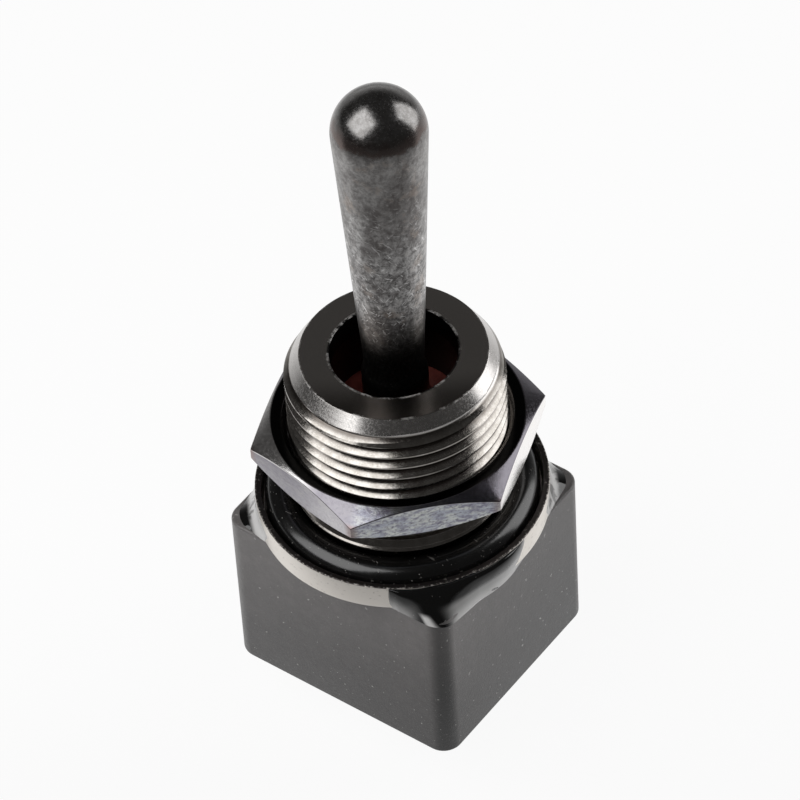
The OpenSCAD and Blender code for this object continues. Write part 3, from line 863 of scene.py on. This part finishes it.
def red_silicone():
    """Dull red-brown silicone with a satin skin."""
    material, place = start_finish("red_silicone")
    cloud = place.noise(1.2, 4)
    colour = cloud.ramp(0.3, 0.7).blend((0.16, 0.028, 0.02), (0.25, 0.055, 0.042))
    rough = 0.42 + 0.15 * cloud
    return end_finish(material, place.noise(6, 3), 0.01, Base_Color=colour, Roughness=rough)


def cast_epoxy():
    """Black cast resin: a wet gloss, pits and dust, and a pale filmy skin where it runs out thin.

    On the front right pillow the pale skin lies along the right wall, with a painted reflection that grows
    paler downwards, and at the left foot, with a painted highlight, and a slanting painted highlight lies
    between them; a blowhole breaks them: an ellipse that leans along the wall. On the other pillows the
    pale skin is a streaky fringe next to the flange.
    """
    material, place = start_finish("cast_epoxy")
    x, y, z = place.parts()
    rise = z - CASE_TOP
    past_wall = x - HALF_X  # below 0 inside the case's right wall
    ripple = place.noise(0.6, 2)
    dust = place.noise(5, 1).ramp(0.74, 0.78)
    pit = place.noise(1.1, 1).ramp(0.72, 0.76)
    streak = place.stretch(1, 1, 0.5).noise(1.3, 3, 0.6).ramp(0.54, 0.62)

    front = x.ramp(0, 1) * (1 - y.ramp(-0.5, 0.5))
    # paler downwards: a painted reflection over the pale skin on the right wall
    thin = 1 - rise.ramp(0.4, 0.85) * 0.5 - rise.ramp(-0.75, 0.35) * 0.5
    wall = past_wall.ramp(-1.1, -0.2) * y.ramp(0.5 - HALF_Y, 1.7 - HALF_Y) * thin
    # pale skin and a painted highlight along the left foot
    foot = (1 - rise.ramp(-0.35, 1.05)) * (1 - past_wall.ramp(-2.3, -1.3))
    foot = foot * (0.9 - 0.4 * past_wall.ramp(-3.1, -2.6))
    # a painted highlight slanting between the wall and the foot
    slant = past_wall + rise
    gleam = slant.ramp(-1.3, -0.95) * (1 - slant.ramp(-0.8, -0.45)) * (1 - rise.ramp(0.15, 0.45))
    by_flange = 1 - place.radius().ramp(FLANGE_R + 0.25, FLANGE_R + 0.55)
    fringe = (1 - front) * by_flange * (1 - 0.6 * streak)
    hole_y = y - BLOWHOLE_Y
    hole_z = z - BLOWHOLE_Z + BLOWHOLE_SLOPE * hole_y
    wide, tall = hole_y / BLOWHOLE_W, hole_z / BLOWHOLE_H
    blowhole = front * (1 - (wide * wide + tall * tall).ramp(0.6, 1.3))
    # pale skin with painted reflection and painted highlights in front, and a real pale fringe elsewhere
    film_and_painted_light = (front * (wall + foot + gleam) + fringe) * (1 - 0.9 * blowhole)

    black = (dust * 0.5).blend((0.003, 0.003, 0.003), (0.2, 0.19, 0.18))
    colour = (film_and_painted_light * 0.9).blend(black, (0.8, 0.79, 0.78))
    rough = 0.06 + 0.3 * dust + 0.2 * film_and_painted_light
    relief = ripple - pit * 0.3 - blowhole
    return end_finish(material, relief, 0.05, Base_Color=colour, Roughness=rough, Specular_IOR_Level=0.8)


def plated(name, low, high, rough, metallic=1.0):
    """A finish between two colours in fine clouds, for the pieces inside and the lugs."""
    material, place = start_finish(name)
    cloud = place.noise(1.5, 5, 0.6)
    grain = place.stretch(1, 1, 0.4).noise(8, 3)
    colour = cloud.ramp(0.3, 0.7).blend(low, high)
    rough = rough + 0.12 * grain
    return end_finish(material, grain, 0.006, Base_Color=colour, Roughness=rough, Metallic=metallic)


finishes = {
    "case_plastic": moulded_black(),
    "nickel": nickel_plate(),
    "zinc": zinc_plate(),
    "dark_metal": black_nickel(),
    "black_rubber": ring_rubber(),
    "silicone": red_silicone(),
    "epoxy": cast_epoxy(),
    "brass": plated("turned_brass", (0.62, 0.42, 0.16), (0.78, 0.57, 0.26), 0.2),
    "steel": plated("bright_steel", (0.5, 0.5, 0.51), (0.64, 0.64, 0.65), 0.2),
    "silver": plated("silver_plate", (0.66, 0.65, 0.62), (0.82, 0.81, 0.79), 0.22),
    "nylon": plated("cream_nylon", (0.62, 0.58, 0.48), (0.72, 0.69, 0.6), 0.45, 0.0),
}


# Pieces


def add_object(name, data):
    """A new object in the scene, for a mesh, a lamp or a camera."""
    thing = bpy.data.objects.new(name, data)
    bpy.context.scene.collection.objects.link(thing)
    return thing


def grid_faces(columns, rows):
    """The quads of a grid, each as the numbers of its four points."""
    first = np.arange(columns - 1)[:, None] * rows + np.arange(rows - 1)
    return np.stack([first, first + rows, first + rows + 1, first + 1], axis=-1).reshape(-1, 4)


def piece(name, points, body, slot, node, sharp):
    """Joins a grid of points into quads, closes its seam and poles and puts it on a body.

    It stands for one solid of the frame. Edges that turn by more than sharp degrees stay crisp.
    """
    mesh = bpy.data.meshes.new(name)
    mesh.from_pydata(points.reshape(-1, 3) * MM, [], grid_faces(*points.shape[:2]))
    shell = bmesh.new()
    shell.from_mesh(mesh)
    bmesh.ops.remove_doubles(shell, verts=shell.verts, dist=WELD)
    bmesh.ops.recalc_face_normals(shell, faces=shell.faces)
    shell.to_mesh(mesh)
    shell.free()
    mesh.shade_smooth()
    mesh.set_sharp_from_angle(angle=np.radians(sharp))
    mesh.materials.append(finishes[slot])
    thing = add_object(name, mesh)
    if body:
        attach(thing, body)
    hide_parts(node)
    return thing


piece("case_shell", case_surface(), "switch_body", "case_plastic", "case", 30)
piece("threaded_bushing", bushing_surface(), "switch_body", "nickel", "bushing", 28)
piece("hexagon_nut", nut_surface(), "nut", "zinc", "panel_nut", 40)
piece("sealing_ring", ring_surface(), "switch_body", "black_rubber", "panel_o_ring", 60)
piece("bat_lever", lever_surface(), "lever", "dark_metal", "toggle_lever", 30)
seal = piece("lever_boot", seal_surface(), None, "silicone", "lever_seal", 50)
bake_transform(seal)

for side in ("front", "rear"):
    spring = side + "_plunger_spring"
    low, high = corners_mm(spring)
    coil = piece(side + "_coil", spring_surface(low, high), "lever", "steel", spring, 60)
    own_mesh(coil)

# Knots of the resin pillows: degrees, swell and drop below the case's top
front_right = [(-60, 0, -0.05), (-57, 0.3, 0.15), (-51, 0.28, 0.17), (-47, 0.12, 0.13), (-42, 0.18, 0.25)]
front_right += [(-36, 0.28, 0.5), (-28, 0.3, 0.7), (-19, 0.3, 0.85), (-9, 0.26, 0.65), (1, 0, 0.05)]
front_left = [(-159, 0, -0.05), (-148, 0.04, 0.1), (-136, 0.05, 0.2), (-128, 0.04, 0.1), (-112, 0, -0.05)]
rear_right = [(14, 0, -0.05), (30, 0.04, 0.2), (43, 0.05, 0.2), (54, 0.04, 0.1), (64, 0, -0.05)]
rear_left = [(116, 0, -0.05), (128, 0.04, 0.1), (137, 0.05, 0.2), (148, 0.04, 0.1), (160, 0, -0.05)]
pillows = {
    "front_right": epoxy_surface(front_right, crest=-0.05, fall=1.2, lip=0.08),
    "front_left": epoxy_surface(front_left, crest=-0.3, fall=0.35, lip=-0.05),
    "rear_right": epoxy_surface(rear_right, crest=-0.3, fall=0.35, lip=-0.05),
    "rear_left": epoxy_surface(rear_left, crest=-0.4, fall=0.35, lip=-0.05),
}
for corner, points in pillows.items():
    piece("resin_" + corner, points, "switch_body", "epoxy", "epoxy_" + corner, 60)

slot_of = {part["node"]: part["material_slot"] for part in frame["record"]["subparts"]}
for node, solid in frame["nodes"].items():
    solid.data.materials.clear()
    solid.data.materials.append(finishes[slot_of[node]])


# Studio, in metres

BLACK = (0, 0, 0)
WHITE = (1, 1, 1)
SEEN_BY = ("Is Camera Ray", "Is Glossy Ray", "Is Transmission Ray")
FLOOR_RINGS = np.array([3.0, 0.8, 0.2, 0.06, 0.02, 0])
LAMP_DISTANCE = 0.6


def light_paths(tree):
    """1 for a camera ray, and 1 for a ray that a mirror or a clear piece sends on."""
    root = Shade(tree)
    camera, glossy, clear = (root.node("ShaderNodeLightPath", {}, {}, name) for name in SEEN_BY)
    return camera, (glossy + clear).ramp(0, 1)


def studio_floor():
    """A wide floor under the lugs, a disc of rings that widen outwards: pale, plain and matt.

    It is white to the camera, apart from the shadow, and in mirrors it is paler behind the switch
    than in front.
    """
    angle = np.linspace(0, TURN, 65)[:, None]
    x = FLOOR_RINGS * np.cos(angle)
    y = FLOOR_RINGS * np.sin(angle)
    points = np.stack([x, y, np.full_like(x, cad_low[2])], axis=-1)
    mesh = bpy.data.meshes.new("studio_floor")
    mesh.from_pydata(points.reshape(-1, 3), [], grid_faces(*x.shape))
    floor = add_object("studio_floor", mesh)
    material, place = start_finish("pale_floor")
    tree = material.node_tree
    camera, mirrored = light_paths(tree)
    back = place.towards(-FORWARDS)
    away = place.radius()
    front_part = 0.42 * (1 - 0.75 * away.ramp(20, 160))
    back_part = 0.58 * back.ramp(-22, 2) * (1 - 0.5 * away.ramp(80, 350))
    tone = (front_part + back_part).blend(BLACK, WHITE)
    matt = place.node("ShaderNodeBsdfDiffuse", {}, {"Color": tone})
    glow = place.node("ShaderNodeEmission", {}, {"Color": camera.blend(tone, WHITE)})
    seen = (camera + mirrored).ramp(0, 1) * 0.92
    mixed = place.node("ShaderNodeMixShader", {}, {0: seen, 1: matt, 2: glow})
    output = tree.nodes.new("ShaderNodeOutputMaterial")
    tree.links.new(mixed.socket, output.inputs["Surface"])
    mesh.materials.append(material)


def studio_sky():
    """White to the camera. In mirrors, a pale strip along the back horizon and a dim ceiling."""
    world = bpy.data.worlds.new("studio_sky")
    bpy.context.scene.world = world
    world.use_nodes = True
    tree = world.node_tree
    tree.nodes.clear()
    ray = Shade(tree).node("ShaderNodeTexCoord", {}, {}, "Generated")
    camera, mirrored = light_paths(tree)
    low_down = 1 - ray.parts()[2].ramp(-0.05, 0.6)
    strip = low_down * ray.towards(-FORWARDS).ramp(0.6, 1.0) * 0.7
    reflected = strip.blend((0.045, 0.044, 0.043), WHITE)
    dim = mirrored.blend((0.2, 0.2, 0.2), reflected)
    sky = ray.node("ShaderNodeBackground", {}, {"Color": camera.blend(dim, WHITE)})
    output = tree.nodes.new("ShaderNodeOutputWorld")
    tree.links.new(sky.socket, output.inputs["Surface"])


def softbox(name, azimuth, elevation, width, height, radiance):
    """A large soft lamp that faces the switch. Its power is pi times its area times its radiance."""
    lamp = bpy.data.lights.new(name, "AREA")
    lamp.shape = "RECTANGLE"
    lamp.size = width
    lamp.size_y = height
    lamp.energy = np.pi * width * height * radiance
    thing = add_object(name, lamp)
    away = Vector(direction(azimuth, elevation))
    thing.location = away * LAMP_DISTANCE
    thing.rotation_mode = "QUATERNION"
    thing.rotation_quaternion = away.to_track_quat("Z", "Y")


def studio_camera():
    """The photograph's view: the camera looks at its aim from a direction, with a small roll."""
    camera = bpy.data.cameras.new("studio_camera")
    camera.lens = CAMERA_LENS
    camera.sensor_width = SENSOR_W
    camera.clip_start = 0.01
    camera.clip_end = 20
    thing = add_object("studio_camera", camera)
    back = direction(CAMERA_AZIMUTH, CAMERA_ELEVATION)
    level = direction(CAMERA_AZIMUTH + 90, 0)
    roll = np.radians(CAMERA_ROLL)
    across = level * np.cos(roll) + np.cross(back, level) * np.sin(roll)
    up = np.cross(back, across)
    turn = Matrix((across, up, back)).transposed().to_4x4()
    turn.translation = Vector(CAMERA_AIM + back * CAMERA_DISTANCE) * MM
    thing.matrix_world = turn
    bpy.context.scene.camera = thing


studio_floor()
studio_sky()
softbox("left_softbox", azimuth=-121, elevation=47.5, width=0.58, height=0.57, radiance=2.2)
softbox("right_softbox", azimuth=54.5, elevation=25.5, width=0.41, height=0.58, radiance=2.0)
studio_camera()
bpy.context.scene.view_settings.view_transform = "Standard"
